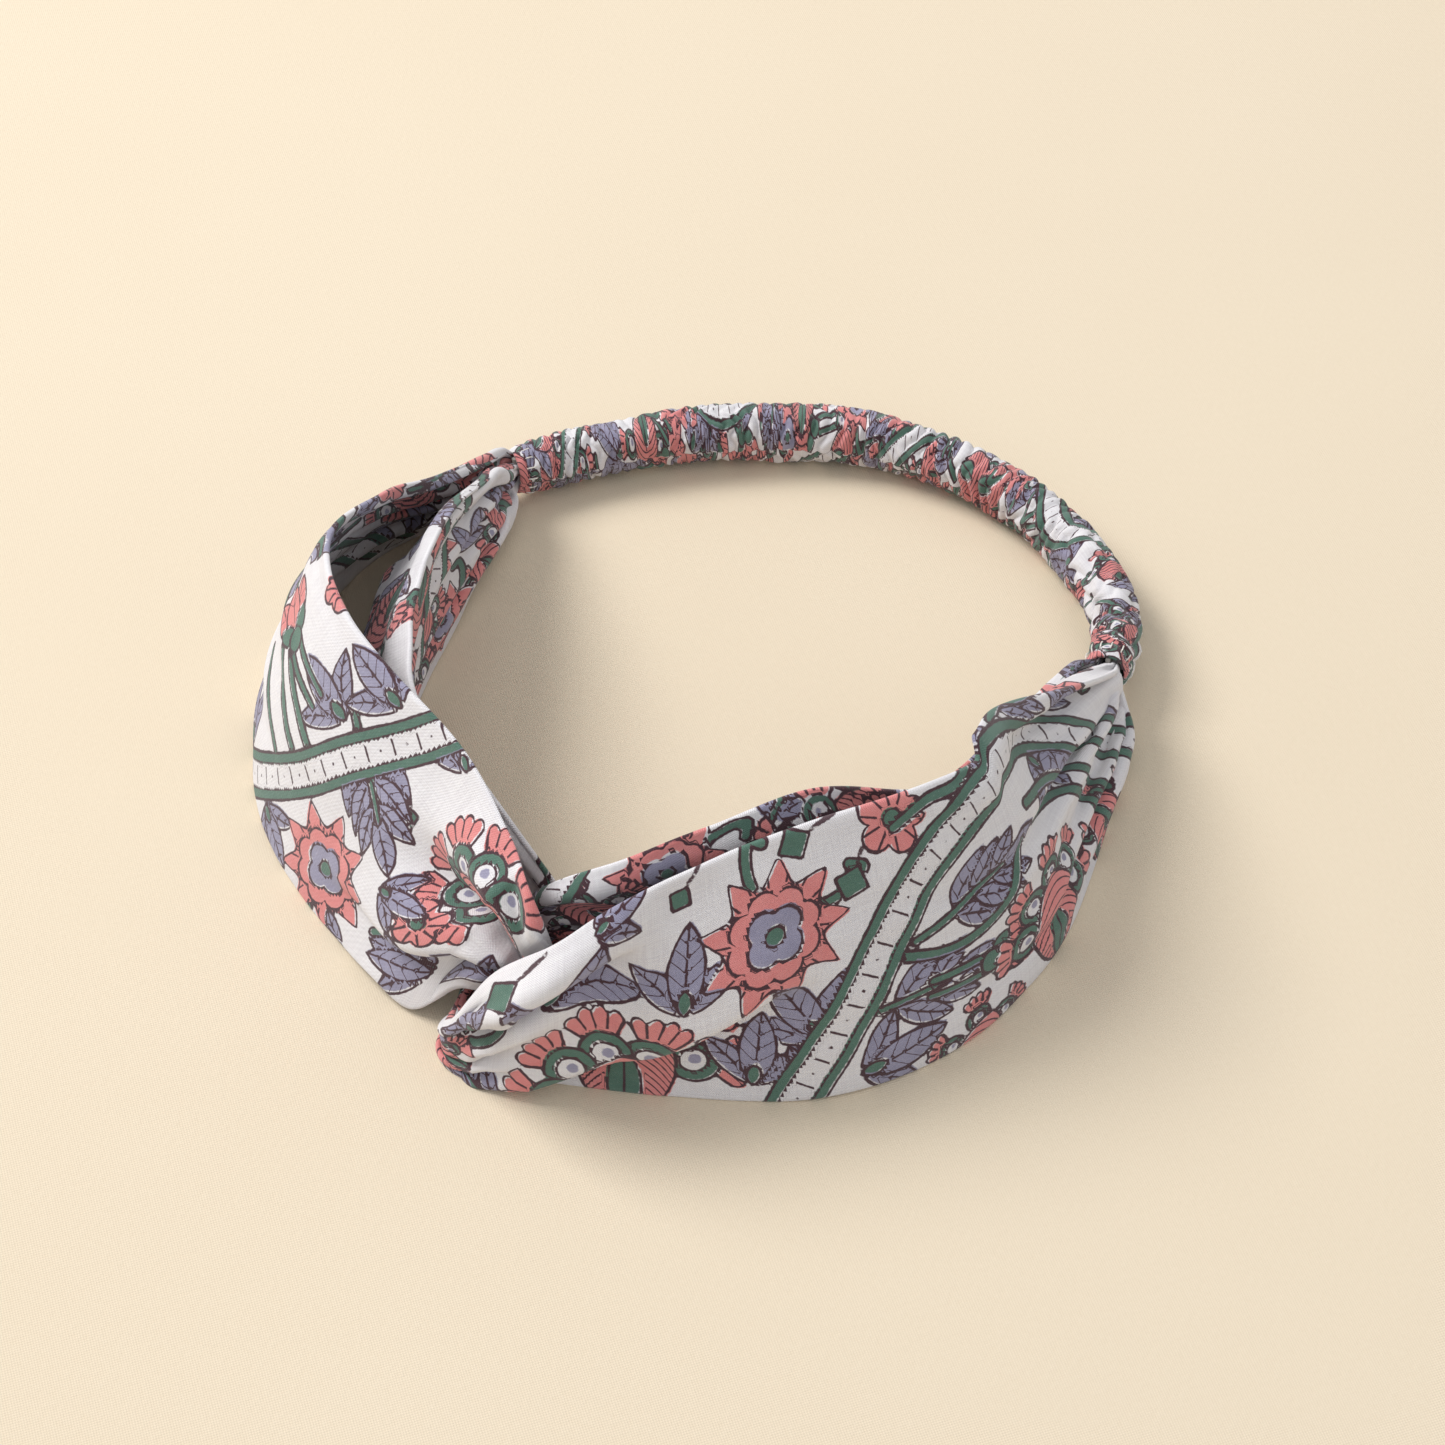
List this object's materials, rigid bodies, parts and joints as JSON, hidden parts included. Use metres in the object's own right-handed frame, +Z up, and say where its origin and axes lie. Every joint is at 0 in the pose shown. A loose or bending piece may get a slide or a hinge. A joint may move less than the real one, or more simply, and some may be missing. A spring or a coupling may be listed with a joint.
{
  "type": "knotted headband",
  "caption": "Cloth headband of two folded bands hooked through each other in a front knot, with a ruched elastic casing behind.",
  "frame": {"origin": "middle of the ring, on the surface that its lower edges stand on", "axes": "+Z up out of the ring, -Y towards the knot at the forehead, +Y towards the elastic casing at the nape, +X towards the wearer's left"},
  "size_m": [0.1802, 0.1907, 0.0547],
  "materials": {
    "printed_cotton": "block-printed cotton cambric, fine plain weave, matt",
    "ruched_cotton": "the same printed cotton, gathered tightly over elastic",
    "elastic": "white knitted flat elastic, ribbed, matt",
    "thread": "white spun polyester sewing thread"
  },
  "bodies": {
    "left_half": {"left_band": "printed_cotton", "left_band_seam": "thread", "left_gathering_thread": "thread", "back_casing": "ruched_cotton", "casing_seam": "thread", "elastic": "elastic", "left_join_stitching": "thread", "left_bartack": "thread", "right_join_stitching": "thread", "right_bartack": "thread"},
    "right_half": {"right_band": "printed_cotton", "right_band_seam": "thread", "right_gathering_thread": "thread"}
  },
  "joints": [
    {"name": "knot_swivel", "type": "hinge", "parent": "left_half", "child": "right_half", "pos_m": [0.003, -0.08, 0.025], "axis": [0, 0, -1], "range_deg": [-8, 15], "stiffness_Nm_per_rad": 0.8, "deforming": ["back_casing", "casing_seam", "elastic", "right_join_stitching", "right_bartack"]}
  ]
}
